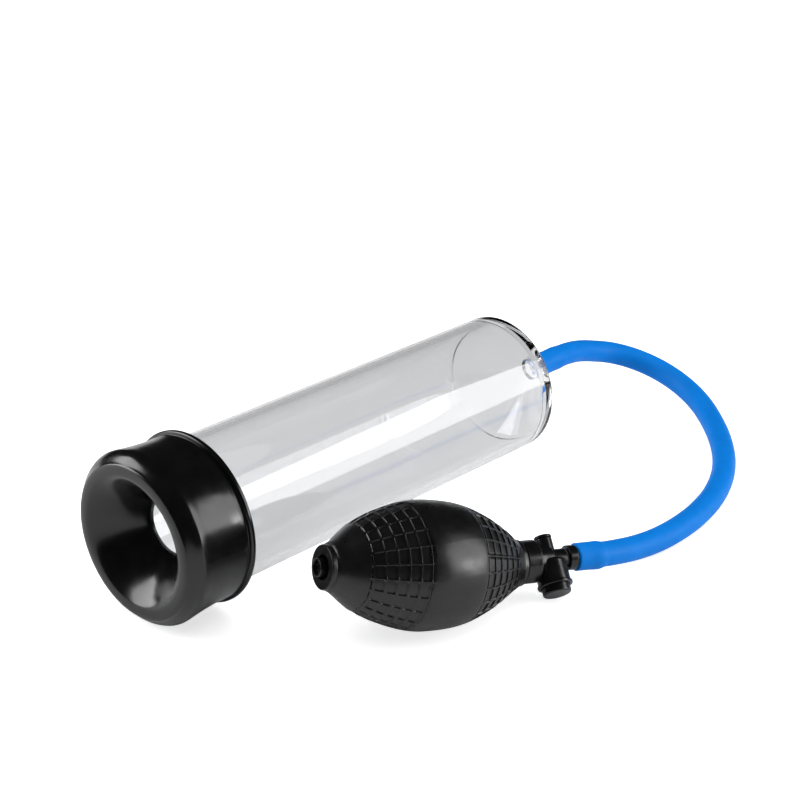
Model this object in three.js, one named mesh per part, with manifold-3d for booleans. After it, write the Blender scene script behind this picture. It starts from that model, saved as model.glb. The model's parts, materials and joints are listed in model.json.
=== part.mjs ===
// Hand vacuum pump: a clear cylinder with a soft sleeve, a hose, and a squeeze bulb with its valves.
// Millimetres, +Z up. The pump lies on the plane z = 0, its bottom centre (without the hose) at the origin.
import * as THREE from "three";
import { mergeVertices } from "three/addons/utils/BufferGeometryUtils.js";
import Module from "manifold-3d";

const wasm = await Module();
wasm.setup();

const deg = Math.PI / 180;
const seatGap = 0.3; // between pieces that touch, press or stretch over each other
const slideGap = 0.2; // round a piece that slides

// The driving dimensions.

const cylinder = {
  outerR: 30,
  wall: 3.4,
  intoSleeve: 18, // how far the open end goes in past the sleeve's back edge
  length: 177.5, // from the sleeve's back edge to the closed end's rim
  rimRound: 1.8,
  coneLength: 23, // from the rim to the face that the hose butts on
  coneWall: 3,
  bossR: 6.2,
  portR: 1.75,
};
const nipple = { r: 3.2, barbR: 3.5, length: 16 };

const sleeve = {
  backR: cylinder.outerR + 4.6, // the bead round the back edge
  beadLength: 2.6,
  waistR: cylinder.outerR + 3.3,
  shoulder: 24.5, // from the back edge to the widest ring
  lipR: cylinder.outerR + 4.7,
  length: cylinder.intoSleeve + 13,
  mouthR: cylinder.outerR - 2.5,
  holeR: 11.3,
  holeDepth: 20, // from the front face to the hole
  funnelWall: 2.6,
};

const hose = { outerR: 5 };

const bulb = {
  maxR: 24.5,
  length: 81.5, // between the tail collar and the neck
  neckR: 9.2,
  wall: 2.4,
  collarR: 8.4,
  collarLength: 2.2,
  neckGrip: 9, // how far the neck holds the valve's plug
};

const tailValve = {
  r: 3.5,
  nose: 2.3, // how far it stands out of the collar
  wall: 0.9,
  depth: 12,
  seatWall: 1.2,
  portR: 1.3,
  flangeRim: 2.9, // how far the flange stands out all round
  flange: 1.4,
};
const tailDisc = { clearance: 0.35, thickness: 0.8, travel: 1 };

const valve = {
  plugR: 5.6,
  collarR: 8.4,
  collarStart: 2.1,
  collarLength: 6.4,
  neckR: 5.4,
  channelR: 1.7,
  barrelAt: 14.9, // the barrel's axis, from the bulb's neck end
  stemR: 3.9,
};
const barrel = { r: 3.4, top: 8.2, capLength: 1.1, wall: 0.9, seatZ: -2.2, seatWall: 1.4 };
const housing = { r: 6.45, top: -0.8, end: -11.2, rim: 0.5, rimLength: 1.3, wall: 0.65 };
const button = { proud: 3.1, wall: 1.3, travel: 2.2, bossR: 2.1 };
const stem = { r: 0.8, head: 0.7 };
const seal = { clearance: 0.4, thickness: 1.1 };
const intake = { wall: 1.9, depth: 4.6, discClearance: 0.5, disc: 0.8, cageLength: 1.2 };
const barb = { collarR: 4.9, collarLength: 3.6, r: 3.2, barbR: 3.5, length: 11, spigotR: 2.7, spigot: 4.2 };
const oRing = { section: 0.35 };

const springWire = { release: 0.28, check: 0.16 };

// Where the two halves of the pump lie.
const cylinderPlace = { x: -92.4, y: 37.5 };
const bulbPlace = { x: -85.6, y: -27.2, azimuth: -19, tilt: 14.1 };
const valvePlace = { azimuth: -22.5, tilt: 7.8, roll: -48.8 };

// The hose's centre line, from the cylinder's nipple to the valve's barb.
const hosePoints = [
  [108.33, 37.5, 29.33],
  [116.3, 37.5, 29.12],
  [124.3, 37.5, 28.91],
  [132.1, 38, 28],
  [141.6, 38.6, 25.9],
  [151.6, 37.9, 22.8],
  [160.6, 34.6, 20],
  [167.3, 28, 17.3],
  [171.3, 18.5, 14.6],
  [172.1, 7.5, 12],
  [169.6, -4, 9.9],
  [163.9, -15.6, 8.5],
  [155.6, -27, 7.6],
  [145.6, -38.3, 6.9],
  [134.6, -48.4, 6.2],
  [123.6, -56.2, 5.6],
  [112.6, -62, 5.3],
  [100.6, -66.7, 5.2],
  [88.6, -69.8, 5.2],
  [77.6, -71.5, 5.2],
  [65.6, -72, 5.2],
  [54.6, -71.5, 5.5],
  [43.6, -70.5, 6.7],
  [33.1, -69.3, 8.7],
  [23.5, -67.15, 10.5],
  [18.4, -65.06, 11.27],
  [13.36, -62.97, 12.02],
];

// A round solid about +X from its outline of [x, r] points, going round the section.
function turned(outline, sides = 28) {
  let area = 0;
  outline.forEach(([x, r], i) => {
    const [nextX, nextR] = outline[(i + 1) % outline.length];
    area += x * nextR - nextX * r;
  });
  const ordered = area < 0 ? outline : [...outline].reverse();
  const onAxis = ordered.filter(([, r]) => r === 0).length > 1;
  let points = ordered.map(([x, r]) => new THREE.Vector2(r, x));
  if (onAxis) {
    const first = ordered.findIndex(([, r], i) => r === 0 && ordered[(i + 1) % ordered.length][1] !== 0);
    points = [...points.slice(first), ...points.slice(0, first)];
  } else {
    points.push(points[0].clone());
  }
  return new THREE.LatheGeometry(points, sides).rotateZ(-Math.PI / 2);
}

// Points of an arc in the [x, r] plane, angles in degrees from the +x direction.
function arc(x, r, radius, from, to, steps = 5) {
  return Array.from({ length: steps + 1 }, (_, i) => {
    const angle = (from + ((to - from) * i) / steps) * deg;
    return [x + radius * Math.cos(angle), r + radius * Math.sin(angle)];
  });
}

// A smooth outline through a few [x, r] points.
function smooth(points, steps) {
  const curve = new THREE.SplineCurve(points.map(([x, r]) => new THREE.Vector2(x, r)));
  return curve.getPoints(steps).map((p) => [p.x, p.y]);
}

function rod(from, to, r, sides = 24) {
  return turned([[from, 0], [from, r], [to, r], [to, 0]], sides);
}

function ring(from, to, innerR, outerR, sides = 28) {
  return turned([[from, innerR], [from, outerR], [to, outerR], [to, innerR]], sides);
}

function solid(geometry) {
  const bare = geometry.clone();
  bare.deleteAttribute("normal");
  bare.deleteAttribute("uv");
  const merged = mergeVertices(bare, 1e-4);
  return new wasm.Manifold(
    new wasm.Mesh({
      numProp: 3,
      vertProperties: merged.attributes.position.array,
      triVerts: new Uint32Array(merged.index.array),
    }),
  );
}

function geometryOf(manifold) {
  const mesh = manifold.getMesh();
  const geometry = new THREE.BufferGeometry();
  geometry.setAttribute("position", new THREE.BufferAttribute(new Float32Array(mesh.vertProperties), 3));
  geometry.setIndex(new THREE.BufferAttribute(new Uint32Array(mesh.triVerts), 1));
  geometry.computeVertexNormals();
  return geometry;
}

// Joins the first list of geometries and cuts the second from them.
function joined(adds, cuts = []) {
  let whole = solid(adds[0]);
  for (const more of adds.slice(1)) whole = whole.add(solid(more));
  for (const cut of cuts) whole = whole.subtract(solid(cut));
  return geometryOf(whole);
}

// The same solid turned to stand along +Z, with x becoming z.
function upright(geometry, x = 0) {
  return geometry.rotateY(-Math.PI / 2).translate(x, 0, 0);
}

// A coil spring along +X, its ends closed flat by a last half turn.
function coil(from, to, radius, wire, turns) {
  class Helix extends THREE.Curve {
    getPoint(t, target = new THREE.Vector3()) {
      const angle = t * turns * 2 * Math.PI;
      const rise = THREE.MathUtils.smoothstep(t, 0.04, 0.96);
      const x = from + wire + (to - from - 2 * wire) * rise;
      return target.set(x, radius * Math.cos(angle), radius * Math.sin(angle));
    }
  }
  const section = new THREE.Shape().absarc(0, 0, wire, 0, 2 * Math.PI);
  return new THREE.ExtrudeGeometry(section, {
    steps: Math.round(turns * 9),
    curveSegments: 2,
    extrudePath: new Helix(),
  });
}

const finishes = {
  clear: { color: 0xe9edf1, roughness: 0.05, metalness: 0, transparent: true, opacity: 0.35 },
  softBlack: { color: 0x0b0b0c, roughness: 0.22, metalness: 0 },
  bulbBlack: { color: 0x101011, roughness: 0.5, metalness: 0 },
  plasticBlack: { color: 0x141415, roughness: 0.35, metalness: 0 },
  hoseBlue: { color: 0x007fe0, roughness: 0.45, metalness: 0 },
  steel: { color: 0xb8bcc2, roughness: 0.3, metalness: 1 },
  sealGrey: { color: 0x3a3b3d, roughness: 0.6, metalness: 0 },
};

function piece(name, geometry, finish) {
  const mesh = new THREE.Mesh(geometry, new THREE.MeshStandardMaterial(finishes[finish]));
  mesh.name = name;
  return mesh;
}

// The cylinder and its sleeve: x runs from the sleeve's back edge towards the closed end.

function cylinderPiece() {
  const { outerR, length, rimRound, coneLength, coneWall, bossR, portR } = cylinder;
  const boreR = outerR - cylinder.wall;
  const bossFace = length + coneLength;
  const tip = bossFace + nipple.length;
  const innerCorner = length - 2;
  const innerPort = bossFace - coneWall - 1;
  return turned(
    [
      [-cylinder.intoSleeve, boreR],
      [-cylinder.intoSleeve, outerR],
      ...arc(length - rimRound, outerR - rimRound, rimRound, 90, 10, 3),
      [bossFace - 3, bossR],
      [bossFace, bossR],
      [bossFace, nipple.r],
      [tip - 5, nipple.r],
      [tip - 4, nipple.barbR],
      [tip, nipple.r - 0.6],
      [tip, portR],
      [innerPort, portR],
      [innerCorner, boreR - 1.2],
      [innerCorner - 3, boreR],
    ],
    44,
  );
}

function sleevePiece() {
  const { backR, beadLength, waistR, lipR, mouthR, holeR, funnelWall } = sleeve;
  const front = -sleeve.length;
  const hole = front + sleeve.holeDepth;
  const grooveEnd = -cylinder.intoSleeve - seatGap;
  const skirtR = cylinder.outerR + seatGap;
  const tongueR = cylinder.outerR - cylinder.wall - seatGap;
  const wide = -sleeve.shoulder;
  const side = [
    [-beadLength - 2, waistR],
    [-13, waistR + 0.2],
    [-19, waistR + 0.8],
    [wide, lipR],
  ];
  const lip = [
    [wide - 3.2, lipR - 1.2],
    [wide - 5.2, lipR - 3.2],
    [front + 0.35, mouthR + 3],
    [front, mouthR],
  ];
  const funnel = [
    [front + 1.2, mouthR - 3],
    [front + 5, mouthR - 7],
    [hole - 6, holeR + 2.9],
    [hole, holeR],
  ];
  return turned(
    [
      [0, skirtR],
      [0, backR - 0.9],
      ...arc(-beadLength / 2, backR - beadLength / 2, beadLength / 2, 40, 140, 3),
      [-beadLength - 0.6, waistR + 0.3],
      ...smooth(side, 5),
      ...smooth(lip, 6),
      ...smooth(funnel, 6),
      [hole + 0.9, holeR + 0.5],
      [hole + 0.8, holeR + funnelWall],
      [hole - 3.2, holeR + funnelWall + 2.4],
      [grooveEnd + 2.2, tongueR - 5.2],
      [grooveEnd + 5, tongueR - 1.4],
      [grooveEnd + 5, tongueR],
      [grooveEnd, tongueR],
      [grooveEnd, skirtR],
    ],
    40,
  );
}

// The bulb: x runs from the tail collar towards the neck.

// Each pair is a share of the length and a share of the largest radius.
const bulbShape = [
  [0, 0.363],
  [0.0221, 0.398],
  [0.0552, 0.4776],
  [0.0982, 0.5898],
  [0.1472, 0.6939],
  [0.2454, 0.8367],
  [0.3926, 0.9755],
  [0.5061, 1],
  [0.6626, 0.9388],
  [0.8098, 0.751],
  [0.9202, 0.5388],
];
const bulbStations = bulbShape.map(([x, r]) => [x * bulb.length, r * bulb.maxR]);
bulbStations.push([bulb.length, bulb.neckR]);


// The valve's own frame seen from the bulb's: both sit in the pump's frame, so their difference is turned.
const bulbTurn = new THREE.Euler(0, bulbPlace.tilt * deg, bulbPlace.azimuth * deg, "ZYX");
const valveTurn = new THREE.Euler(
  valvePlace.roll * deg,
  valvePlace.tilt * deg,
  valvePlace.azimuth * deg,
  "ZYX",
);

function toNeck(geometry) {
  const turn = new THREE.Quaternion().setFromEuler(bulbTurn).invert();
  turn.multiply(new THREE.Quaternion().setFromEuler(valveTurn));
  return geometry.applyQuaternion(turn).translate(bulb.length, 0, 0);
}

// Where the outlet valve sits in the bulb's tail.
const tailNose = -bulb.collarLength - tailValve.nose;
const tailEnd = tailNose + tailValve.depth;
const tailBoreR = tailValve.r - tailValve.wall;
const tailSeat = tailEnd - tailValve.seatWall; // the face that the disc closes on
const tailDiscR = tailBoreR - tailDisc.clearance;
const retainerStart = tailNose + 1.4;
const retainerEnd = retainerStart + 1;
const tailFlangeR = tailValve.r + tailValve.flangeRim;
const tailFlangeStart = tailEnd - tailValve.flange;

function bulbPiece() {
  const outline = smooth(bulbStations, 16);
  const outer = turned([
    [-bulb.collarLength, 0],
    [-bulb.collarLength, bulb.collarR - 0.4],
    [-bulb.collarLength + 0.4, bulb.collarR],
    [-0.4, bulb.collarR],
    ...outline,
    [bulb.length, 0],
  ], 32);
  const hollowed = bulbStations.filter(([x]) => x > tailEnd && x < bulb.length - 2 * bulb.wall);
  const inside = smooth(hollowed.map(([x, r]) => [x, r - bulb.wall]), 8);
  const hollow = turned([[inside[0][0], 0], ...inside, [inside.at(-1)[0], 0]], 24);
  const neckBoreR = valve.plugR + seatGap;
  const neck = toNeck(turned([
    [-4, 0],
    [-4, bulb.neckR - 1],
    [-1, bulb.neckR],
    [valve.collarStart - seatGap - 0.5, bulb.neckR - 0.3],
    [valve.collarStart - seatGap, bulb.neckR - 0.8],
    [valve.collarStart - seatGap, 0],
  ]));
  return joined(
    [outer, neck],
    [
      hollow,
      rod(-bulb.collarLength - 1, inside[0][0] + 1, tailValve.r + seatGap),
      rod(tailFlangeStart - seatGap, inside[0][0] + 1, tailFlangeR + seatGap),
      toNeck(rod(-bulb.neckGrip - 4, valve.collarStart + 1, neckBoreR)),
    ],
  );
}

// The tail valve lets the squeezed air out; it shares the bulb's frame.

function tailValveBody() {
  return turned([
    [tailNose, tailBoreR],
    [tailNose, tailValve.r - 0.4],
    [tailNose + 0.4, tailValve.r],
    [tailFlangeStart, tailValve.r],
    [tailFlangeStart, tailFlangeR],
    [tailEnd, tailFlangeR],
    [tailEnd, tailValve.portR],
    [tailSeat, tailValve.portR],
    [tailSeat, tailBoreR],
  ], 32);
}

// A ring with crossed bars that keeps a spring in and lets air by.
function spider(from, to, outerR, ringWall, barWidth) {
  const bars = [0, 1].map((i) =>
    new THREE.BoxGeometry(to - from, 2 * outerR - ringWall, barWidth)
      .translate((from + to) / 2, 0, 0)
      .rotateX((i * Math.PI) / 2),
  );
  return joined([ring(from, to, outerR - ringWall, outerR, 28), ...bars]);
}

// The release valve and the check valve: x runs from the bulb's neck to the hose.

const plugEnd = -bulb.neckGrip;
const intakeSeat = plugEnd + intake.depth; // the face that the intake disc closes on
const intakeBoreR = valve.plugR - intake.wall;
const intakeDiscR = intakeBoreR - intake.discClearance;
const cageEnd = plugEnd + 0.4 + intake.cageLength;
const barrelTop = barrel.top + barrel.capLength;
const buttonFace = housing.end - button.proud;
const seatUnder = barrel.seatZ - barrel.seatWall;
const buttonTop = seatUnder - button.travel - seatGap;
const housingBoreR = housing.r - housing.wall;
const housingRimR = housing.r + housing.rim;
const chamberR = barrel.r - barrel.wall;
const stemHeadR = chamberR - 0.6;
const sealBottom = barrel.seatZ + seatGap;
const sealTop = sealBottom + seal.thickness;
const headBottom = sealTop + seatGap;
const headTop = headBottom + stem.head;
const collarEnd = valve.collarStart + valve.collarLength;
const neckEnd = valve.barrelAt + 0.7;
const stemEnd = valve.barrelAt + housing.r + 0.15;
const barbCollar = stemEnd + 2 * oRing.section + 0.3;
const barbStart = barbCollar + barb.collarLength;
const spigotEnd = barbCollar - barb.spigot;

function valveBody() {
  const plug = turned([
    [plugEnd, 0],
    [plugEnd, valve.plugR - 0.5],
    [plugEnd + 1, valve.plugR],
    [valve.collarStart, valve.plugR],
    [valve.collarStart, valve.collarR - 0.4],
    [valve.collarStart + 0.4, valve.collarR],
    [collarEnd - 0.6, valve.collarR],
    [collarEnd, valve.collarR - 0.6],
    [collarEnd, valve.neckR],
    [neckEnd, valve.neckR - 0.4],
    [neckEnd, valve.stemR],
    [stemEnd, valve.stemR],
    [stemEnd, 0],
  ]);
  const upper = upright(rod(-1, barrel.top, barrel.r), valve.barrelAt);
  const lower = upright(turned([
    [housing.end, 0],
    [housing.end, housingRimR - 0.4],
    [housing.end + 0.4, housingRimR],
    [housing.end + housing.rimLength - 0.3, housingRimR],
    [housing.end + housing.rimLength, housing.r],
    [housing.top - 0.8, housing.r],
    [housing.top, housing.r - 0.8],
    [housing.top, 0],
  ]), valve.barrelAt);
  const boreR = barb.spigotR + seatGap;
  return joined(
    [plug, upper, lower],
    [
      rod(plugEnd - 1, intakeSeat, intakeBoreR),
      rod(intakeSeat - 1, stemEnd - 1, valve.channelR, 24),
      rod(spigotEnd - seatGap, stemEnd + 1, boreR),
      upright(rod(barrel.seatZ, barrel.top + 1, chamberR), valve.barrelAt),
      upright(rod(seatUnder - 1, barrel.seatZ + 1, stem.r + 0.5, 24), valve.barrelAt),
      upright(rod(housing.end - 1, seatUnder, housingBoreR), valve.barrelAt),
    ],
  );
}

function barrelCap() {
  const top = barrelTop + seatGap;
  return upright(turned([
    [barrel.top - 1.6, 0],
    [barrel.top - 1.6, chamberR - seatGap],
    [barrel.top + seatGap, chamberR - seatGap],
    [barrel.top + seatGap, barrel.r + 0.1],
    [top - 0.5, barrel.r + 0.1],
    [top, barrel.r - 0.4],
    [top, 0],
  ], 32), valve.barrelAt);
}

// A cup that slides in the housing, with a boss that grips the stem.
function releaseButton() {
  const r = housingBoreR - slideGap;
  const floor = buttonFace + button.wall;
  const bossTop = buttonTop - 0.4;
  return upright(turned([
    [buttonFace, 0],
    [buttonFace, r - 0.5],
    [buttonFace + 0.5, r],
    [buttonTop, r],
    [buttonTop, r - button.wall],
    [floor, r - button.wall],
    [floor, button.bossR],
    [bossTop, button.bossR],
    [bossTop, stem.r + seatGap],
    [floor + 0.6, stem.r + seatGap],
    [floor + 0.6, 0],
  ]), valve.barrelAt);
}

function releaseStem() {
  const foot = buttonFace + button.wall + 0.6 + seatGap;
  return upright(turned([
    [foot, 0],
    [foot, stem.r],
    [headBottom, stem.r],
    [headBottom, stemHeadR],
    [headTop, stemHeadR],
    [headTop, 0],
  ], 24), valve.barrelAt);
}

function hoseBarb() {
  const tip = barbStart + barb.length;
  const boreR = 1.6;
  return turned([
    [spigotEnd, boreR],
    [spigotEnd, barb.spigotR],
    [barbCollar, barb.spigotR],
    [barbCollar, barb.collarR - 0.3],
    [barbCollar + 0.3, barb.collarR],
    [barbStart - 0.3, barb.collarR],
    [barbStart, barb.collarR - 0.3],
    [barbStart, barb.r],
    [tip - 5, barb.r],
    [tip - 4, barb.barbR],
    [tip, barb.r - 0.7],
    [tip, boreR],
  ], 32);
}

function barbORing() {
  const middle = stemEnd + oRing.section + 0.15;
  const r = barb.spigotR + 0.2 + oRing.section;
  return turned(arc(middle, r, oRing.section, 0, 300, 5), 24);
}

function hosePiece() {
  const line = hosePoints.map((p) => new THREE.Vector3(...p));
  const curve = new THREE.CatmullRomCurve3(line, false, "centripetal");
  const boreR = Math.max(nipple.barbR, barb.barbR) + seatGap;
  const section = new THREE.Shape().absarc(0, 0, hose.outerR, 0, 2 * Math.PI);
  section.holes.push(new THREE.Path().absarc(0, 0, boreR, 0, 2 * Math.PI, true));
  return new THREE.ExtrudeGeometry(section, { steps: 40, curveSegments: 5, extrudePath: curve });
}

// The whole pump.

const pump = new THREE.Group();

const cylinderTilt = Math.atan((sleeve.backR - cylinder.outerR) / (cylinder.length - cylinder.rimRound));
const cylinderGroup = new THREE.Group();
cylinderGroup.position.set(cylinderPlace.x, cylinderPlace.y, sleeve.backR * Math.cos(cylinderTilt));
cylinderGroup.rotation.y = cylinderTilt;
cylinderGroup.add(piece("cylinder", cylinderPiece(), "clear"));
cylinderGroup.add(piece("sleeve", sleevePiece(), "softBlack"));
pump.add(cylinderGroup);

const tilt = bulbPlace.tilt * deg;
const depths = smooth(bulbStations, 60).map(([x, r]) => r * Math.cos(tilt) + x * Math.sin(tilt));
const restHeight = Math.max(...depths);
const bulbGroup = new THREE.Group();
bulbGroup.position.set(bulbPlace.x, bulbPlace.y, restHeight);
bulbGroup.rotation.copy(bulbTurn);
bulbGroup.add(piece("bulb", bulbPiece(), "bulbBlack"));
bulbGroup.add(piece("tail_valve_body", tailValveBody(), "plasticBlack"));
const tailDiscEnd = tailSeat - 0.1;
const tailDiscStart = tailDiscEnd - tailDisc.thickness;
bulbGroup.add(piece("tail_valve_disc", rod(tailDiscStart, tailDiscEnd, tailDiscR, 24), "sealGrey"));
const tailSpring = coil(retainerEnd + 0.1, tailDiscStart - 0.1, tailBoreR - 1.1, springWire.check, 4);
bulbGroup.add(piece("tail_valve_spring", tailSpring, "steel"));
const retainer = spider(retainerStart, retainerEnd, tailBoreR - seatGap, 0.7, 0.7);
bulbGroup.add(piece("tail_valve_retainer", retainer, "plasticBlack"));
pump.add(bulbGroup);

bulbGroup.updateMatrixWorld(true);
const valveGroup = new THREE.Group();
valveGroup.position.copy(bulbGroup.localToWorld(new THREE.Vector3(bulb.length, 0, 0)));
valveGroup.rotation.copy(valveTurn);
valveGroup.add(piece("valve_body", valveBody(), "plasticBlack"));
const intakeDiscEnd = intakeSeat - 0.1;
const intakeDiscStart = intakeDiscEnd - intake.disc;
valveGroup.add(piece("intake_disc", rod(intakeDiscStart, intakeDiscEnd, intakeDiscR, 24), "sealGrey"));
const intakeSpring = coil(cageEnd + 0.1, intakeDiscStart - 0.1, intakeBoreR - 1.8, springWire.check, 3);
valveGroup.add(piece("intake_spring", intakeSpring, "steel"));
const cage = spider(plugEnd + 0.4, cageEnd, intakeBoreR - seatGap, 0.9, 0.9);
valveGroup.add(piece("intake_cage", cage, "plasticBlack"));
valveGroup.add(piece("barrel_cap", barrelCap(), "plasticBlack"));
valveGroup.add(piece("release_button", releaseButton(), "plasticBlack"));
valveGroup.add(piece("release_stem", releaseStem(), "steel"));
const sealR = chamberR - seal.clearance;
const sealRing = upright(ring(sealBottom, sealTop, stem.r + seatGap, sealR, 24), valve.barrelAt);
valveGroup.add(piece("release_seal", sealRing, "sealGrey"));
const springTop = barrel.top - 1.6 - 0.1;
const releaseCoil = coil(headTop + 0.1, springTop, chamberR - 0.9, springWire.release, 5);
const releaseSpring = upright(releaseCoil, valve.barrelAt);
valveGroup.add(piece("release_spring", releaseSpring, "steel"));
valveGroup.add(piece("hose_barb", hoseBarb(), "plasticBlack"));
valveGroup.add(piece("barb_o_ring", barbORing(), "sealGrey"));
pump.add(valveGroup);

pump.add(piece("hose", hosePiece(), "hoseBlue"));

export default pump;
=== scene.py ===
import json
import math

import bmesh
import bpy
from mathutils import Matrix, Vector


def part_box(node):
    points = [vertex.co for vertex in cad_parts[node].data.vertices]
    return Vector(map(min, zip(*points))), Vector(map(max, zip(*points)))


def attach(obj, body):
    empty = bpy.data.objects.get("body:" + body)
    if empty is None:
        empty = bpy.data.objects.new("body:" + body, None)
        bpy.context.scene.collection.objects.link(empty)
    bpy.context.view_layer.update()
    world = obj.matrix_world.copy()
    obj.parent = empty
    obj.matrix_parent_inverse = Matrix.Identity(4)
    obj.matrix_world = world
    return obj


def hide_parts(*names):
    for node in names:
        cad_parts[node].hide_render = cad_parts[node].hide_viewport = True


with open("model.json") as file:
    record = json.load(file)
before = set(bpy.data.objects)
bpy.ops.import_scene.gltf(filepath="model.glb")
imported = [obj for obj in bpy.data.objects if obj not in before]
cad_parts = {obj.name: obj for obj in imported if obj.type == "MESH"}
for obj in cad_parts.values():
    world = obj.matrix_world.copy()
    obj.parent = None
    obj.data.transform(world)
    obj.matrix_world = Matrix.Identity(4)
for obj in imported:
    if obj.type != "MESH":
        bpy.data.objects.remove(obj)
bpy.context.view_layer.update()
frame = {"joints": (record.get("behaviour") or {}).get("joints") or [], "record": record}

scene = bpy.context.scene
mm = 0.001

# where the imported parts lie

record = frame["record"]
joints = {joint["name"]: joint for joint in frame["joints"]}
mounts = {mount["name"]: mount for mount in record["mounts"]}
bodyOf = {node: body for body, nodes in record["behaviour"]["bodies"].items() for node in nodes}
slotOf = {part["node"]: part["material_slot"] for part in record["subparts"]}


def place(origin, along, up):
    # millimetres with x along a part's axis, turned into the pump's frame in metres
    x = Vector(along).normalized()
    z = (Vector(up) - Vector(up).dot(x) * x).normalized()
    turn = Matrix((x, z.cross(x), z)).transposed().to_4x4()
    return Matrix.Translation(origin) @ turn @ Matrix.Scale(mm, 4)


def middle(node):
    low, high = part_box(node)
    return (low + high) / 2


cylinder = {
    "outerR": 30,
    "wall": 3.4,
    "intoSleeve": 18,
    "length": 177.5,  # from the sleeve's back edge to the closed end's rim
    "cone": 23,
    "bossR": 6.2,
    "portR": 1.75,
    "nippleR": 3.2,
    "nippleBarbR": 3.5,
    "nipple": 16,
}
sleeve = {
    "length": 31,
    "beadR": 34.6,
    "bead": 1.9,
    "waistR": 33.1,
    "shoulder": 24.5,  # from the back edge to the widest ring
    "shoulderR": 34.7,
    "mouthR": 27.5,
    "holeR": 11.3,
    "holeDepth": 20,
}
bulb = {
    "length": 81.5,
    "collar": 2.2,
    "collarR": 8.4,
    "wall": 2.4,
    "neckR": 9.2,
    "ribs": 22,
    "ribWidth": 0.62,
    "cellDepth": 0.52,
    "ribHeight": 0.04,
    "frontBand": (10.6, 30.6),
    "backBand": (55.8, 74.8),
    "rings": 5,  # rows of cells in a band
    "frontRoll": 151.5,
    "seamRoll": 145,
}
valve = {
    "plugR": 5.6,
    "grip": 9,
    "collarStart": 2.1,
    "collar": 6.4,
    "collarR": 8.4,
    "neckR": 5.4,
    "neckEnd": 15.6,
    "stemR": 3.9,
    "stemEnd": 21.5,
    "barrelAt": 14.9,
    "barrelR": 3.4,
    "barrelTop": 8.2,
    "seatZ": -2.2,
    "housingR": 6.45,
    "housingTop": -0.8,
    "housingEnd": -11.2,
    "rimR": 6.95,
    "rim": 1.3,
    "buttonProud": 3.1,
}

cylinderAxis = -Vector(joints["cylinder_pull"]["axis"])
mouth = Vector(mounts["sleeve_mouth"]["pos_m"])
cylinderPlace = place(mouth + cylinderAxis * sleeve["length"] * mm, cylinderAxis, (0, 0, 1))

bulbAxis = -Vector(joints["tail_valve_open"]["axis"])
tailDisc = middle("tail_valve_disc")
collarFace = (Vector(mounts["tail_collar_face"]["pos_m"]) - tailDisc).dot(bulbAxis)
bulbPlace = place(tailDisc + bulbAxis * (collarFace + bulb["collar"] * mm), bulbAxis, (0, 0, 1))

valveAxis = -Vector(joints["intake_open"]["axis"])
barrelUp = Vector(joints["release_press"]["axis"])
buttonFace = valve["housingEnd"] - valve["buttonProud"]
valveOrigin = Vector(mounts["button_face"]["pos_m"]) - barrelUp * buttonFace * mm
valvePlace = place(valveOrigin - valveAxis * valve["barrelAt"] * mm, valveAxis, barrelUp)
barrelPlace = place(valveOrigin, barrelUp, valveAxis)  # x runs up the barrel

# the camera

cameraSet = {
    "azimuth": 313.49,
    "elevation": 25.88,
    "distance": 0.9208,
    "target": (0.0862, 0.0995, 0),
    "lens": 88.84,
}


def direction(azimuth, elevation):
    a = math.radians(azimuth)
    e = math.radians(elevation)
    return Vector((math.sin(a) * math.cos(e), -math.cos(a) * math.cos(e), math.sin(e)))


camera = bpy.data.objects.new("camera", bpy.data.cameras.new("camera"))
scene.collection.objects.link(camera)
back = direction(cameraSet["azimuth"], cameraSet["elevation"])
camera.location = Vector(cameraSet["target"]) + back * cameraSet["distance"]
camera.rotation_euler = back.to_track_quat("Z", "Y").to_euler()
camera.data.lens = cameraSet["lens"]
camera.data.sensor_width = 36
camera.data.clip_start = 0.01
scene.camera = camera
print("camera set")

# shapes


def softened(points, steps=5):
    # a closed outline of (x, r) corners, each with a fillet where a third number gives one
    outline = []
    for i, (x, r, *fillet) in enumerate(points):
        corner = Vector((x, r))
        if not fillet:
            outline.append((x, r))
            continue
        before = (Vector(points[i - 1][:2]) - corner).normalized()
        after = (Vector(points[(i + 1) % len(points)][:2]) - corner).normalized()
        half = before.angle(after) / 2
        centre = corner + (before + after).normalized() * fillet[0] / math.sin(half)
        reach = fillet[0] / math.tan(half)
        start = corner + before * reach - centre
        end = corner + after * reach - centre
        for step in range(steps + 1):
            spoke = start.slerp(end, step / steps).normalized()
            outline.append(tuple(centre + spoke * fillet[0]))
    return outline


def smooth(points, steps):
    # a curve through a few points, of two or three numbers each, as a list of points
    points = [Vector(p) for p in points]
    last = len(points) - 1
    curve = []
    for step in range(steps + 1):
        at = last * step / steps
        i = min(int(at), last - 1)
        t = at - i
        before = points[max(i - 1, 0)]
        after = points[min(i + 2, last)]
        leave = (points[i + 1] - before) / 2
        arrive = (after - points[i]) / 2
        curve.append(tuple(
            (2 * points[i] - 2 * points[i + 1] + leave + arrive) * t**3
            + (3 * points[i + 1] - 3 * points[i] - 2 * leave - arrive) * t**2
            + leave * t
            + points[i]
        ))
    return curve


def linked(rings, closed=True):
    # a bmesh whose rows of points, all of one length or of one point, are joined in order
    shape = bmesh.new()
    rows = [[shape.verts.new(point) for point in ring] for ring in rings]
    pairs = list(zip(rows, rows[1:]))
    if closed:
        pairs.append((rows[-1], rows[0]))
    for one, two in pairs:
        count = max(len(one), len(two))
        if count == 1:
            continue
        for i in range(count):
            j = (i + 1) % count
            corners = [one[i % len(one)], two[i % len(two)], two[j % len(two)], one[j % len(one)]]
            shape.faces.new(dict.fromkeys(corners))
    bmesh.ops.recalc_face_normals(shape, faces=shape.faces)
    return shape


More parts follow.
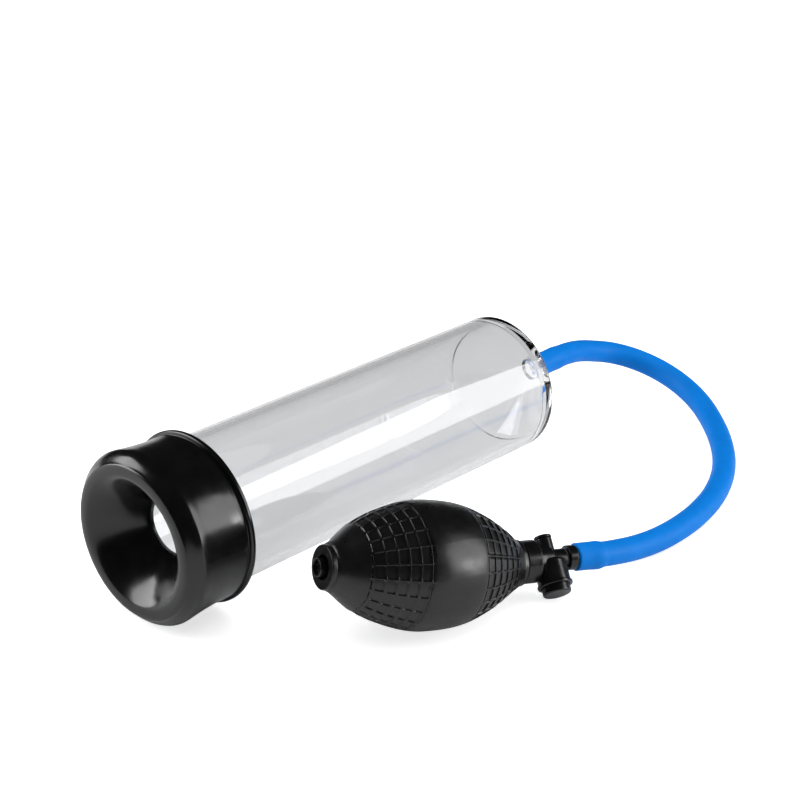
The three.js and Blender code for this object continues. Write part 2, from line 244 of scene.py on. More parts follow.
def circle(x, r, sides):
    if r < 1e-6:
        return [(x, 0, 0)]
    turns = [2 * math.pi * i / sides for i in range(sides)]
    return [(x, r * math.cos(turn), r * math.sin(turn)) for turn in turns]


def turned(outline, sides=96):
    return linked([circle(x, r, sides) for x, r in outline])


def plain(start, end, r, sides):
    return turned([(start, 0), (start, r), (end, r), (end, 0)], sides)


def rod(start, end, r, edge=0.15, sides=64):
    return turned(softened([(start, 0), (start, r, edge), (end, r, edge), (end, 0)], 3), sides)


def washer(start, end, innerR, outerR, edge=0.15, sides=64):
    corners = [(start, innerR, edge), (start, outerR, edge), (end, outerR, edge), (end, innerR, edge)]
    return turned(softened(corners, 3), sides)


def swept(points, outlines):
    # outlines holds, for each point, the (across, up) places of its ring, carried along without twist
    points = [Vector(p) for p in points]
    side = None
    rings = []
    for i, point in enumerate(points):
        ahead = (points[min(i + 1, len(points) - 1)] - points[max(i - 1, 0)]).normalized()
        if side is None:
            side = ahead.orthogonal().normalized()
        side = (side - side.dot(ahead) * ahead).normalized()
        up = ahead.cross(side)
        rings.append([tuple(point + side * across + up * rise) for across, rise in outlines[i]])
    return rings


def wheel(r, sides):
    return [
        (r * math.cos(2 * math.pi * i / sides), r * math.sin(2 * math.pi * i / sides))
        for i in range(sides)
    ]


def coil(start, end, radius, wire, turns, sides=10):
    # a spring of round wire whose ends close flat
    points = []
    count = round(turns * 40)
    for step in range(count + 1):
        t = step / count
        lift = min(max((t - 0.04) / 0.92, 0), 1)
        x = start + wire + (end - start - 2 * wire) * lift * lift * (3 - 2 * lift)
        angle = 2 * math.pi * turns * t
        points.append((x, radius * math.cos(angle), radius * math.sin(angle)))
    rings = swept(points, [wheel(wire, sides)] * len(points))
    return linked([[points[0]], *rings, [points[-1]]], closed=False)


def joined(adds, cuts=()):
    # the first shapes made one, with the second ones cut out of them
    parts = []
    for shape in [*adds, *cuts]:
        mesh = bpy.data.meshes.new("blank")
        shape.to_mesh(mesh)
        shape.free()
        part = bpy.data.objects.new("blank", mesh)
        scene.collection.objects.link(part)
        parts.append(part)
    for i, part in enumerate(parts[1:], 1):
        step = parts[0].modifiers.new("join", "BOOLEAN")
        step.solver = "EXACT"
        step.operation = "UNION" if i < len(adds) else "DIFFERENCE"
        step.object = part
    whole = bmesh.new()
    whole.from_object(parts[0], bpy.context.evaluated_depsgraph_get())
    for part in parts:
        mesh = part.data
        bpy.data.objects.remove(part)
        bpy.data.meshes.remove(mesh)
    bmesh.ops.remove_doubles(whole, verts=whole.verts, dist=1e-4)
    bmesh.ops.triangulate(whole, faces=[face for face in whole.faces if len(face.verts) > 4])
    return whole


def piece(name, node, shape, where, crease=32):
    shape.transform(where)
    mesh = bpy.data.meshes.new(name)
    shape.to_mesh(mesh)
    shape.free()
    mesh.shade_smooth()
    mesh.set_sharp_from_angle(angle=math.radians(crease))
    made = bpy.data.objects.new(name, mesh)
    scene.collection.objects.link(made)
    made.data.materials.append(finishes[slotOf[node]])
    # keeps the fillets from tilting the shading of the long walls
    flat = made.modifiers.new("flatWalls", "WEIGHTED_NORMAL")
    flat.keep_sharp = True
    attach(made, bodyOf[node])
    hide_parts(node)
    return made


# finishes


def surface(name, sockets):
    finish = bpy.data.materials.new(name)
    finish.use_nodes = True
    shader = finish.node_tree.nodes["Principled BSDF"]
    for socket, value in sockets.items():
        shader.inputs[socket].default_value = value
    return finish


def noise(finish, scale, detail=2, stretch=(1, 1, 1)):
    nodes = finish.node_tree.nodes
    links = finish.node_tree.links
    where = nodes.new("ShaderNodeTexCoord")
    mapping = nodes.new("ShaderNodeMapping")
    mapping.inputs["Scale"].default_value = stretch
    texture = nodes.new("ShaderNodeTexNoise")
    texture.inputs["Scale"].default_value = scale
    texture.inputs["Detail"].default_value = detail
    links.new(where.outputs["Object"], mapping.inputs["Vector"])
    links.new(mapping.outputs["Vector"], texture.inputs["Vector"])
    return texture


def mottle(finish, socket, low, high, scale, detail=2, stretch=(1, 1, 1)):
    # a surface value or colour that wanders between two others
    nodes = finish.node_tree.nodes
    links = finish.node_tree.links
    texture = noise(finish, scale, detail, stretch)
    ramp = nodes.new("ShaderNodeValToRGB")
    ramp.color_ramp.elements[0].position = 0.32
    ramp.color_ramp.elements[1].position = 0.68
    for element, value in zip(ramp.color_ramp.elements, (low, high)):
        element.color = (*value, 1) if isinstance(value, tuple) else (value, value, value, 1)
    links.new(texture.outputs["Fac"], ramp.inputs["Fac"])
    links.new(ramp.outputs["Color"], nodes["Principled BSDF"].inputs[socket])


def grain(finish, layers):
    # a fine relief: each layer is (size of a grain in millimetres, depth in millimetres)
    nodes = finish.node_tree.nodes
    links = finish.node_tree.links
    under = None
    for size, depth in layers:
        texture = noise(finish, 1 / (size * mm), 3)
        bump = nodes.new("ShaderNodeBump")
        bump.inputs["Strength"].default_value = 1
        bump.inputs["Distance"].default_value = depth * mm
        links.new(texture.outputs["Fac"], bump.inputs["Height"])
        if under:
            links.new(under.outputs["Normal"], bump.inputs["Normal"])
        under = bump
    links.new(under.outputs["Normal"], nodes["Principled BSDF"].inputs["Normal"])


def clearPlastic():
    finish = surface("clearPlastic", {
        "Base Color": (0.86, 0.865, 0.875, 1),
        "Transmission Weight": 1,
        "IOR": 1.49,
    })
    mottle(finish, "Roughness", 0.012, 0.03, 60)
    grain(finish, [(40, 0.05)])
    # lamps reach the floor through the clear wall, a little dimmed
    nodes = finish.node_tree.nodes
    links = finish.node_tree.links
    ray = nodes.new("ShaderNodeLightPath")
    open_ = nodes.new("ShaderNodeBsdfTransparent")
    open_.inputs["Color"].default_value = (0.86, 0.865, 0.875, 1)
    mix = nodes.new("ShaderNodeMixShader")
    links.new(ray.outputs["Is Shadow Ray"], mix.inputs[0])
    links.new(nodes["Principled BSDF"].outputs[0], mix.inputs[1])
    links.new(open_.outputs[0], mix.inputs[2])
    links.new(mix.outputs[0], nodes["Material Output"].inputs["Surface"])
    return finish


def sleeveRubber():
    finish = surface("sleeveRubber", {"IOR": 1.5, "Specular IOR Level": 0.5})
    mottle(finish, "Base Color", (0.0022, 0.0022, 0.0025), (0.004, 0.004, 0.0044), 140)
    mottle(finish, "Roughness", 0.17, 0.23, 220, 4)
    grain(finish, [(14, 0.05), (0.5, 0.0012)])
    return finish


def bulbRubber():
    finish = surface("bulbRubber", {"IOR": 1.5, "Specular IOR Level": 0.5})
    mottle(finish, "Base Color", (0.003, 0.003, 0.0032), (0.006, 0.006, 0.0062), 180, 5)
    mottle(finish, "Roughness", 0.27, 0.35, 300, 5)
    grain(finish, [(6, 0.02), (0.35, 0.004)])
    return finish


def blackPlastic():
    finish = surface("blackPlastic", {"IOR": 1.5, "Specular IOR Level": 0.5})
    mottle(finish, "Base Color", (0.0025, 0.0025, 0.0028), (0.0045, 0.0045, 0.005), 200, 3)
    mottle(finish, "Roughness", 0.2, 0.28, 350, 4)
    grain(finish, [(5, 0.015), (0.3, 0.002)])
    return finish


def blueSilicone():
    finish = surface("blueSilicone", {"IOR": 1.43, "Specular IOR Level": 0.16})
    mottle(finish, "Base Color", (0.0, 0.18, 0.64), (0.0, 0.2, 0.7), 120, 4)
    mottle(finish, "Roughness", 0.42, 0.54, 300, 4)
    grain(finish, [(4, 0.02), (0.3, 0.004)])
    return finish


def sealRubber():
    finish = surface("sealRubber", {"IOR": 1.5})
    mottle(finish, "Base Color", (0.035, 0.035, 0.037), (0.06, 0.06, 0.062), 400, 3)
    mottle(finish, "Roughness", 0.5, 0.65, 500, 3)
    grain(finish, [(0.3, 0.004)])
    return finish


def springSteel():
    finish = surface("springSteel", {"Metallic": 1})
    mottle(finish, "Base Color", (0.52, 0.53, 0.55), (0.66, 0.67, 0.69), 500, 3)
    mottle(finish, "Roughness", 0.22, 0.36, 700, 3)
    grain(finish, [(0.2, 0.001)])
    return finish


finishes = {
    "clear_plastic": clearPlastic(),
    "sleeve_rubber": sleeveRubber(),
    "bulb_rubber": bulbRubber(),
    "black_plastic": blackPlastic(),
    "blue_silicone": blueSilicone(),
    "seal_rubber": sealRubber(),
    "spring_steel": springSteel(),
}
print("finishes made:", len(finishes))

# the hose

hose = {
    "outerR": 5,
    "boreR": 3.8,
    "sides": 40,
    "nippleEnd": (0.2, 19),  # how much wider it is stretched, and over what length
    "valveEnd": (0.5, 13),
    "edge": 0.5,
}
# the centre line, from the cylinder's nipple to the valve's barb
hosePoints = [
    (108.33, 37.5, 29.33),
    (116.3, 37.5, 29.12),
    (124.3, 37.5, 28.91),
    (132.1, 38, 28),
    (141.6, 38.6, 25.9),
    (151.6, 37.9, 22.8),
    (160.6, 34.6, 20),
    (167.3, 28, 17.3),
    (171.3, 18.5, 14.6),
    (172.1, 7.5, 12),
    (169.6, -4, 9.9),
    (163.9, -15.6, 8.5),
    (155.6, -27, 7.6),
    (145.6, -38.3, 6.9),
    (134.6, -48.4, 6.2),
    (123.6, -56.2, 5.6),
    (112.6, -62, 5.3),
    (100.6, -66.7, 5.2),
    (88.6, -69.8, 5.2),
    (77.6, -71.5, 5.2),
    (65.6, -72, 5.2),
    (54.6, -71.5, 5.5),
    (43.6, -70.5, 6.7),
    (33.1, -69.3, 8.7),
    (23.5, -67.15, 10.5),
    (18.4, -65.06, 11.27),
    (13.36, -62.97, 12.02),
]


def eased(t):
    t = min(max(t, 0), 1)
    return t * t * (3 - 2 * t)


def hoseLine():
    # the centre line as close points, with its length up to each
    line = smooth(hosePoints, 12 * (len(hosePoints) - 1))
    reached = [0]
    for one, two in zip(line, line[1:]):
        reached.append(reached[-1] + (Vector(two) - Vector(one)).length)
    return line, reached


def stretch(at, wide, length):
    # the hose stands wide over the barb, with a low swell where the barb's edge is
    swell = 0.12 * math.exp(-(((at - length * 0.72) / 2.2) ** 2))
    return wide * (1 - eased((at - length * 0.75) / (length * 0.25))) + swell


def makeHose():
    line, reached = hoseLine()
    total = reached[-1]
    edge = hose["edge"]
    outer = []
    inner = []
    for at in reached:
        grown = stretch(at, *hose["nippleEnd"]) + stretch(total - at, *hose["valveEnd"])
        fromEnd = min(at, total - at)
        rounded = edge - math.sqrt(max(edge**2 - max(edge - fromEnd, 0) ** 2, 0))
        outer.append(hose["outerR"] + grown - rounded)
        inner.append(hose["boreR"])
    sides = hose["sides"]
    outside = swept(line, [wheel(r, sides) for r in outer])
    inside = swept(line, [wheel(r, sides) for r in inner])
    shape = linked(outside + inside[::-1])
    made = piece("feedHose", "hose", shape, Matrix.Scale(mm, 4), 40)
    return total


print("hose made, millimetres long:", round(makeHose(), 1))

# the clear cylinder


def makeCylinder():
    c = cylinder
    boreR = c["outerR"] - c["wall"]
    face = c["length"] + c["cone"]
    tip = face + c["nipple"]
    outline = softened([
        (-c["intoSleeve"], boreR, 0.7),
        (-c["intoSleeve"], c["outerR"], 0.7),
        (c["length"] - 0.4, c["outerR"], 1.6),
        (face - 3, c["bossR"], 1.5),
        (face, c["bossR"], 0.6),
        (face, c["nippleR"], 0.3),
        (tip - 5, c["nippleR"]),
        (tip - 4, c["nippleBarbR"], 0.1),
        (tip, c["nippleR"] - 0.6, 0.2),
        (tip, c["portR"], 0.2),
        (face - 4, c["portR"], 0.6),
        (c["length"] - 2, boreR - 1.2, 1),
        (c["length"] - 5, boreR, 3),
    ], 6)
    piece("clearCylinder", "cylinder", turned(outline, 180), cylinderPlace)


makeCylinder()
print("cylinder made")

# the sleeve


def makeSleeve():
    s = sleeve
    front = -s["length"]
    hole = front + s["holeDepth"]
    skirtR = cylinder["outerR"] + 0.3
    tongueR = cylinder["outerR"] - cylinder["wall"] - 0.3
    grooveEnd = -cylinder["intoSleeve"] - 0.3
    lipR = s["shoulderR"]
    bead = softened([
        (0, skirtR, 0.4),
        (0, s["beadR"], 0.85),
        (-s["bead"], s["beadR"], 0.85),
        (-s["bead"] - 0.5, s["waistR"] - 0.25, 0.3),
        (-s["bead"] - 1.1, s["waistR"] - 0.1, 0.3),
        (-s["bead"] - 1.5, s["waistR"] + 0.35, 0.3),
        (-s["bead"] - 2.6, s["waistR"] + 0.2),
    ], 6)[:-1]
    shoulder = -s["shoulder"]
    side = smooth([
        (-s["bead"] - 2.6, s["waistR"] + 0.2),
        (-9, s["waistR"] + 0.15),
        (-15, s["waistR"] + 0.5),
        (-20, s["waistR"] + 1.0),
        (shoulder + 1.2, lipR - 0.15),
        (shoulder - 0.6, lipR),
    ], 30)
    lip = smooth([
        (shoulder - 1.3, lipR - 0.15),
        (shoulder - 3.2, lipR - 1.2),
        (shoulder - 5.2, lipR - 3.2),
        (front + 0.35, s["mouthR"] + 3),
        (front, s["mouthR"] + 0.8),
        (front + 0.5, s["mouthR"] - 1.8),
        (front + 3.3, s["mouthR"] - 5.3),
        (front + 8.5, s["mouthR"] - 9.9),
        (hole - 5, s["holeR"] + 2.2),
        (hole - 1.8, s["holeR"] + 0.35),
        (hole, s["holeR"]),
    ], 70)
    inside = softened([
        (hole + 1.4, s["holeR"] + 0.9, 0.6),
        (hole + 0.9, s["holeR"] + 2.6, 0.5),
        (hole - 3.2, s["holeR"] + 5, 2),
        (grooveEnd + 2.2, tongueR - 5.2, 1),
        (grooveEnd + 5, tongueR - 1.4, 0.5),
        (grooveEnd + 5, tongueR, 0.4),
        (grooveEnd, tongueR, 0.3),
        (grooveEnd, skirtR, 0.3),
    ], 4)
    piece("ringSleeve", "sleeve", turned(bead + side + lip + inside, 180), cylinderPlace, 50)


makeSleeve()
print("sleeve made")

# the squeeze bulb

bulbOutline = [
    (0, 8.9),
    (1.8, 9.75),
    (4.5, 11.7),
    (8, 14.45),
    (12, 17),
    (20, 20.5),
    (32, 23.9),
    (41.25, 24.5),
    (54, 23),
    (66, 18.4),
    (75, 13.2),
    (81.5, 9.2),
]
bulbCurve = smooth(bulbOutline, 360)


def bulbR(x):
    for one, two in zip(bulbCurve, bulbCurve[1:]):
        if one[0] <= x <= two[0]:
            return one[1] + (two[1] - one[1]) * (x - one[0]) / max(two[0] - one[0], 1e-9)
    return bulbCurve[-1][1]


def ribRows(band):
    # (x, share of a rib's height) along the band: each ring rises and falls over five rows
    start, end = band
    rows = []
    width = bulb["ribWidth"]
    for ring in range(bulb["rings"] + 1):
        at = start + (end - start) * ring / bulb["rings"]
        for offset, height in ((-0.68, 0), (-0.36, 0.85), (0, 1), (0.36, 0.85), (0.68, 0)):
            rows.append((at + offset * width, height))
        if ring < bulb["rings"]:
            gap = (end - start) / bulb["rings"]
            for share in (0.3, 0.5, 0.7):
                rows.append((at + gap * share, 0))
    return rows


def bulbColumns():
    # (rib number, offset in rib widths, share of a cell, height, seam groove) round the bulb
    columns = []
    for rib in range(bulb["ribs"]):
        seam = rib % (bulb["ribs"] // 2) == 0
        if seam:
            columns.append((rib, -1.5, 0, 0, 0))
            columns.append((rib, -1.1, 0, 0, 1))
        columns.append((rib, -0.68, 0, 0, 0))
        columns.append((rib, -0.36, 0, 0.85, 0))
        columns.append((rib, 0, 0, 1, 0))
        columns.append((rib, 0.36, 0, 0.85, 0))
        columns.append((rib, 0.68, 0, 0, 0))
        if seam:
            columns.append((rib, 1.1, 0, 0, 1))
            columns.append((rib, 1.5, 0, 0, 0))
        for share in (0.25, 0.42, 0.58, 0.75):
            columns.append((rib, 0, share, 0, 0))
    return columns


def bulbRing(x, r, columns, bandHeight=None, backBand=False, spine=None):
    # one ring of the bulb's surface; bandHeight is its own share of a rib's height inside a band
    step = 2 * math.pi / bulb["ribs"]
    shift = eased((x - bulb["frontBand"][1]) / (bulb["backBand"][0] - bulb["frontBand"][1]))
    roll = math.radians(bulb["frontRoll"] + (bulb["seamRoll"] - bulb["frontRoll"]) * shift)
    points = []
    for rib, offset, share, height, groove in columns:
        turn = roll + (rib + share) * step + offset * bulb["ribWidth"] / max(r, 7)
        level = 0
        if bandHeight is not None:
            top = max(bandHeight, height)
            level = -bulb["cellDepth"] + (bulb["cellDepth"] + bulb["ribHeight"]) * top
            if groove and backBand:
                level = -bulb["cellDepth"] - 0.28
        points.append((x, (r + level) * math.cos(turn), (r + level) * math.sin(turn)))
    if spine is None:
        return points
    return [tuple(spine @ Vector(point)) for point in points]


# the valve's frame seen from the bulb's, in millimetres
towardsValve = bulbPlace.inverted() @ valvePlace
valveTurn = towardsValve.to_quaternion()
neckPoint = Vector((bulb["length"], 0, 0))


def neckSpine(x, start, end):
    # bends the bulb's axis into the valve's between two stations
    share = eased((x - start) / (end - start))
    turn = Matrix.Identity(4).to_quaternion().slerp(valveTurn, share)
    return Matrix.Translation(neckPoint) @ turn.to_matrix().to_4x4() @ Matrix.Translation(-neckPoint)


def makeBulb():
    b = bulb
    columns = bulbColumns()
    front = b["frontBand"]
    rear = b["backBand"]
    end = b["length"]
    tailBoreR = 4.0
    pocketR = 6.7
    neckBoreR = valve["plugR"] + 0.3
    collarEdge = softened([
        (-b["collar"], tailBoreR, 0.3),
        (-b["collar"], b["collarR"], 0.45),
        (-0.2, b["collarR"], 0.25),
        (0.1, b["collarR"] - 0.3, 0.15),
        (0.6, bulbR(0.6)),
    ], 5)
    rows = [bulbRing(x, r, columns) for x, r in collarEdge]
    cone = [0.6 + (front[0] - 1.5) * i / 18 for i in range(1, 19)]
    rows += [bulbRing(x, bulbR(x), columns) for x in cone]
    edge = 0.68 * b["ribWidth"]
    for x, height in ribRows(front):
        rows.append(bulbRing(x, bulbR(x), columns, height))
    belly = [front[1] + edge + 0.25 + (rear[0] - front[1] - 2 * edge - 0.5) * i / 22 for i in range(23)]
    rows += [bulbRing(x, bulbR(x), columns) for x in belly]
    for x, height in ribRows(rear):
        spine = neckSpine(x, end - 6, end)
        rows.append(bulbRing(x, bulbR(x), columns, height, True, spine))
    neckEnd = end + valve["collarStart"] - 0.3
    for x in (77.3, 78.2, 79.2, 80.3, 81.5):
        rows.append(bulbRing(x, bulbR(x), columns, spine=neckSpine(x, end - 6, end)))
    neck = softened([
        (end + 0.2, b["neckR"] - 0.05),
        (neckEnd, b["neckR"] - 0.25, 0.5),
        (neckEnd, neckBoreR, 0.3),
        (end - 6, neckBoreR),
    ], 5)
    rows += [bulbRing(x, r, columns, spine=neckSpine(end, 0, end)) for x, r in neck]
    for x, r in ((end - 8, neckBoreR), (end - 9.8, neckBoreR), (70.5, 12)):
        rows.append(bulbRing(x, r, columns, spine=neckSpine(x, 66, end - 9)))
    for i in range(24):
        x = 69 - (69 - 12) * i / 23
        rows.append(bulbRing(x, bulbR(x) - b["wall"], columns))
    pocket = softened([
        (10.6, pocketR + 2),
        (9.7, pocketR, 0.3),
        (4.4, pocketR, 0.2),
        (4.4, tailBoreR, 0.2),
    ], 3)
    rows += [bulbRing(x, r, columns) for x, r in pocket]
    piece("squeezeBulb", "bulb", linked(rows), bulbPlace, 58)


makeBulb()
print("bulb made")

# the outlet valve in the bulb's tail

outlet = {
    "r": 3.5,
    "proud": 2.3,
    "wall": 0.9,
    "depth": 12,
    "flangeR": 6.4,
    "flange": 1.4,
    "seatWall": 1.2,
    "portR": 1.3,
    "disc": 0.8,
}


def spider(start, end, outerR, ringWall, bar):
    ring = washer(start, end, outerR - ringWall, outerR, 0.12)
    bars = []
    for turn in range(2):
        shape = bmesh.new()
        bmesh.ops.create_cube(shape, size=1)
        shape.transform(Matrix.Diagonal((end - start - 0.1, 2 * outerR - ringWall, bar, 1)))
        bmesh.ops.bevel(shape, geom=shape.edges[:], offset=0.1, segments=2, affect="EDGES")
        shape.transform(Matrix.Rotation(turn * math.pi / 2, 4, "X"))
        shape.transform(Matrix.Translation(((start + end) / 2, 0, 0)))
        bars.append(shape)
    return joined([ring, *bars])


def makeOutlet():
    o = outlet
    nose = -bulb["collar"] - o["proud"]
    end = nose + o["depth"]
    boreR = o["r"] - o["wall"]
    seat = end - o["seatWall"]
    body = softened([
        (nose, boreR, 0.2),
        (nose, o["r"], 0.45),
        (end - o["flange"], o["r"], 0.2),
        (end - o["flange"], o["flangeR"], 0.2),
        (end, o["flangeR"], 0.3),
        (end, o["portR"], 0.2),
        (seat, o["portR"], 0.15),
        (seat, boreR, 0.2),
    ], 5)
    piece("outletValveBody", "tail_valve_body", turned(body, 72), bulbPlace)
    discEnd = seat - 0.1
    discStart = discEnd - o["disc"]
    piece("outletDisc", "tail_valve_disc", rod(discStart, discEnd, boreR - 0.35), bulbPlace)
    cage = (nose + 1.4, nose + 2.4)
    piece("outletRetainer", "tail_valve_retainer", spider(*cage, boreR - 0.3, 0.7, 0.7), bulbPlace)
    spring = coil(cage[1] + 0.1, discStart - 0.1, 1.5, 0.16, 4)
    piece("outletSpring", "tail_valve_spring", spring, bulbPlace)


makeOutlet()
print("outlet valve made")

# the release valve, with the inlet valve in its plug


def makeValveBody():
    v = valve
    plugEnd = -v["grip"]
    collarEnd = v["collarStart"] + v["collar"]
    through = softened([
        (plugEnd, 0),
        (plugEnd, v["plugR"], 0.6),
        (v["collarStart"], v["plugR"]),
        (v["collarStart"], v["collarR"], 0.45),
        (collarEnd, v["collarR"], 0.7),
        (collarEnd, v["neckR"] + 0.9, 0.6),
        (collarEnd + 3.2, v["neckR"], 1.5),
        (v["neckEnd"], v["neckR"] - 0.3, 0.6),
        (v["neckEnd"], v["stemR"], 0.4),
        (v["stemEnd"], v["stemR"], 0.3),
        (v["stemEnd"], 0),
    ], 5)
    upper = softened([
        (-1, 0),
        (-1, v["barrelR"]),
        (v["barrelTop"], v["barrelR"], 0.25),
        (v["barrelTop"], 0),
    ], 4)
    lower = softened([
        (v["housingEnd"], 0),
        (v["housingEnd"], v["rimR"], 0.5),
        (v["housingEnd"] + v["rim"], v["rimR"], 0.3),
        (v["housingEnd"] + v["rim"] + 0.1, v["housingR"], 0.12),
        (v["housingTop"], v["housingR"], 1.3),
        (v["housingTop"], 0),
    ], 6)
    bore = [
        plain(plugEnd - 1, plugEnd + 4.6, 3.7, 48),
        plain(plugEnd + 3, v["stemEnd"] - 1, 1.7, 40),
        plain(17.7, v["stemEnd"] + 1, 3, 48),
    ]
    swing = valvePlace.inverted() @ barrelPlace
    seatUnder = v["seatZ"] - 1.4
    chamber = plain(v["seatZ"], v["barrelTop"] + 1, 2.5, 48)
    passage = plain(seatUnder - 1, v["seatZ"] + 1, 1.3, 40)
    pocket = softened([
        (v["housingEnd"] - 1, 0),
        (v["housingEnd"] - 1, 5.8),
        (seatUnder, 5.8, 0.3),
        (seatUnder, 0),
    ], 3)
    standing = [turned(upper, 64), turned(lower, 96), chamber, passage, turned(pocket, 96)]
    for shape in standing:
        shape.transform(swing)
    shape = joined([turned(through, 96), *standing[:2]], [*bore, *standing[2:]])
    piece("valveBody", "valve_body", shape, valvePlace)


def makeRelease():
    v = valve
    top = v["barrelTop"] + 0.3
    cap = softened([
        (v["barrelTop"] - 1.6, 0),
        (v["barrelTop"] - 1.6, 2.2, 0.2),
        (top, 2.2),
        (top, v["barrelR"] + 0.12, 0.2),
        (top + 1.1, v["barrelR"] + 0.12, 0.45),
        (top + 1.1, 0),
    ], 5)
    piece("barrelCap", "barrel_cap", turned(cap, 72), barrelPlace)
    r = 5.6
    wall = 1.3
    floor = buttonFace + wall
    button = softened([
        (buttonFace, 0),
        (buttonFace, r, 0.75),
        (buttonFace + 8.2, r, 0.2),
        (buttonFace + 8.2, r - wall, 0.2),
        (floor, r - wall, 0.4),
        (floor, 2.1, 0.4),
        (buttonFace + 7.8, 2.1, 0.2),
        (buttonFace + 7.8, 1.1, 0.1),
        (floor + 0.6, 1.1, 0.1),
        (floor + 0.6, 0),
    ], 6)
    piece("releaseButton", "release_button", turned(button, 96), barrelPlace)
    sealStart = v["seatZ"] + 0.3
    sealEnd = sealStart + 1.1
    head = sealEnd + 0.3
    stem = softened([
        (floor + 0.9, 0),
        (floor + 0.9, 0.8, 0.1),
        (head, 0.8, 0.1),
        (head, 1.9, 0.12),
        (head + 0.7, 1.9, 0.12),
        (head + 0.7, 0),
    ], 3)
    piece("releaseStem", "release_stem", turned(stem, 48), barrelPlace)
    piece("releaseSeal", "release_seal", washer(sealStart, sealEnd, 1.1, 2.1), barrelPlace)
    spring = coil(head + 0.8, v["barrelTop"] - 1.7, 1.6, 0.28, 5)
    piece("releaseSpring", "release_spring", spring, barrelPlace)


def makeInlet():
    plugEnd = -valve["grip"]
    seat = plugEnd + 4.6
    discStart = seat - 0.9
    piece("inletDisc", "intake_disc", rod(discStart, seat - 0.1, 3.2), valvePlace)
    cageEnd = plugEnd + 1.6
    piece("inletCage", "intake_cage", spider(plugEnd + 0.4, cageEnd, 3.4, 0.9, 0.9), valvePlace)
    spring = coil(cageEnd + 0.1, discStart - 0.1, 1.9, 0.16, 3)
    piece("inletSpring", "intake_spring", spring, valvePlace)


def makeBarb():
    v = valve
    section = 0.35
    collar = v["stemEnd"] + 2 * section + 0.3
    start = collar + 3.6
    tip = start + 11
    bore = 1.6
    outline = softened([
        (collar - 4.2, bore, 0.1),
        (collar - 4.2, 2.7, 0.2),
        (collar, 2.7),
        (collar, 4.9, 0.4),
        (start, 4.9, 0.4),
        (start, 3.2, 0.2),
        (tip - 5, 3.2),
        (tip - 4, 3.5, 0.1),
        (tip, 2.5, 0.2),
        (tip, bore, 0.2),
    ], 5)
    piece("hoseBarb", "hose_barb", turned(outline, 80), valvePlace)
    ring = [
        (v["stemEnd"] + section + 0.15 + section * x, 2.9 + section + section * r)
        for x, r in wheel(1, 16)
    ]
    piece("barbRing", "barb_o_ring", turned(ring, 72), valvePlace)


makeValveBody()
makeRelease()
makeInlet()
makeBarb()
print("valves made")

# the floor and the light

studio = {
    "floor": 8,
    "worldForCamera": 1.0,
    "worldForGloss": 0.02,
    "worldForGlass": 0.62,
    "worldForRest": 0.16,
    "floorGlow": 0.7,
    "floorThroughGlass": 0.78,
    "evenShare": 0.85,
}
# name: azimuth, elevation, distance, width, height, brightness, whether gloss shows it
lamps = {
    "overhead": (0, 89.9, 1.6, 2.4, 2.4, 1.25, False),
    "rightBox": (38, 20, 1.3, 0.85, 0.85, 3.8, True),
    "rightHeart": (27, 8, 1.28, 0.3, 0.35, 8, True),
    "leftBackBox": (216, 22, 1.3, 0.75, 0.8, 6, True),
}


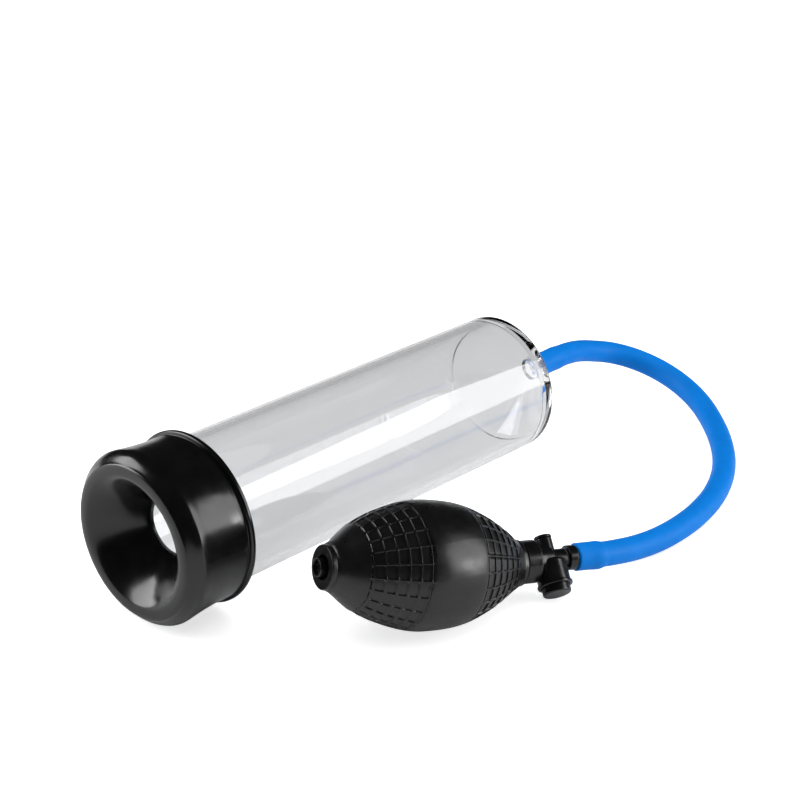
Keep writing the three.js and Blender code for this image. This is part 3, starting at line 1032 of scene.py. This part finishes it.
def makeFloor():
    half = studio["floor"] / 2
    mesh = bpy.data.meshes.new("floor")
    corners = [(-half, -half, 0), (half, -half, 0), (half, half, 0), (-half, half, 0)]
    mesh.from_pydata(corners, [], [(0, 1, 2, 3)])
    floor = bpy.data.objects.new("floor", mesh)
    scene.collection.objects.link(floor)
    finish = surface("paleFloor", {"Roughness": 0.7, "Specular IOR Level": 0.1})
    mottle(finish, "Base Color", (0.9, 0.9, 0.9), (0.92, 0.92, 0.92), 3)
    # the sheet glows a little where it is looked at, so that shadows stay light on it
    nodes = finish.node_tree.nodes
    links = finish.node_tree.links
    ray = nodes.new("ShaderNodeLightPath")
    glow = nodes.new("ShaderNodeMath")
    glow.operation = "MULTIPLY"
    glow.inputs[1].default_value = studio["floorGlow"]
    nodes["Principled BSDF"].inputs["Emission Color"].default_value = (1, 1, 1, 1)
    links.new(ray.outputs["Is Camera Ray"], glow.inputs[0])
    links.new(glow.outputs[0], nodes["Principled BSDF"].inputs["Emission Strength"])
    # through the clear wall it is mostly an even pale grey
    even = nodes.new("ShaderNodeEmission")
    even.inputs["Strength"].default_value = studio["floorThroughGlass"]
    through = nodes.new("ShaderNodeMath")
    through.operation = "GREATER_THAN"
    through.inputs[1].default_value = 0.5
    share = nodes.new("ShaderNodeMath")
    share.operation = "MULTIPLY"
    share.inputs[1].default_value = studio["evenShare"]
    mix = nodes.new("ShaderNodeMixShader")
    links.new(ray.outputs["Transmission Depth"], through.inputs[0])
    links.new(through.outputs[0], share.inputs[0])
    links.new(share.outputs[0], mix.inputs[0])
    links.new(nodes["Principled BSDF"].outputs[0], mix.inputs[1])
    links.new(even.outputs[0], mix.inputs[2])
    links.new(mix.outputs[0], nodes["Material Output"].inputs["Surface"])
    mesh.materials.append(finish)


def makeLamp(name, azimuth, elevation, distance, width, height, brightness, glossy):
    data = bpy.data.lights.new(name, "AREA")
    data.shape = "RECTANGLE"
    data.size = width
    data.size_y = height
    data.energy = brightness * math.pi * width * height
    lamp = bpy.data.objects.new(name, data)
    scene.collection.objects.link(lamp)
    towards = direction(azimuth, elevation)
    lamp.location = towards * distance
    lamp.rotation_euler = towards.to_track_quat("Z", "Y").to_euler()
    lamp.visible_camera = False
    lamp.visible_glossy = glossy
    return lamp


def makeWorld():
    # white behind the floor's edge, dark in the gloss, pale through the clear wall
    world = bpy.data.worlds.new("studio")
    world.use_nodes = True
    nodes = world.node_tree.nodes
    links = world.node_tree.links
    nodes.clear()
    ray = nodes.new("ShaderNodeLightPath")
    through = nodes.new("ShaderNodeMath")
    through.operation = "GREATER_THAN"
    through.inputs[1].default_value = 0.5
    links.new(ray.outputs["Transmission Depth"], through.inputs[0])
    light = None
    choices = (
        ("worldForRest", None),
        ("worldForGloss", ray.outputs["Is Glossy Ray"]),
        ("worldForGlass", through.outputs[0]),
        ("worldForCamera", ray.outputs["Is Camera Ray"]),
    )
    for name, when in choices:
        level = nodes.new("ShaderNodeBackground")
        level.inputs["Color"].default_value = (1, 1, 1, 1)
        level.inputs["Strength"].default_value = studio[name]
        if when is None:
            light = level.outputs[0]
            continue
        mix = nodes.new("ShaderNodeMixShader")
        links.new(when, mix.inputs[0])
        links.new(light, mix.inputs[1])
        links.new(level.outputs[0], mix.inputs[2])
        light = mix.outputs[0]
    output = nodes.new("ShaderNodeOutputWorld")
    links.new(light, output.inputs["Surface"])
    scene.world = world


makeFloor()
for name, values in lamps.items():
    makeLamp(name, *values)
makeWorld()
scene.view_settings.view_transform = "Standard"
print("studio made")
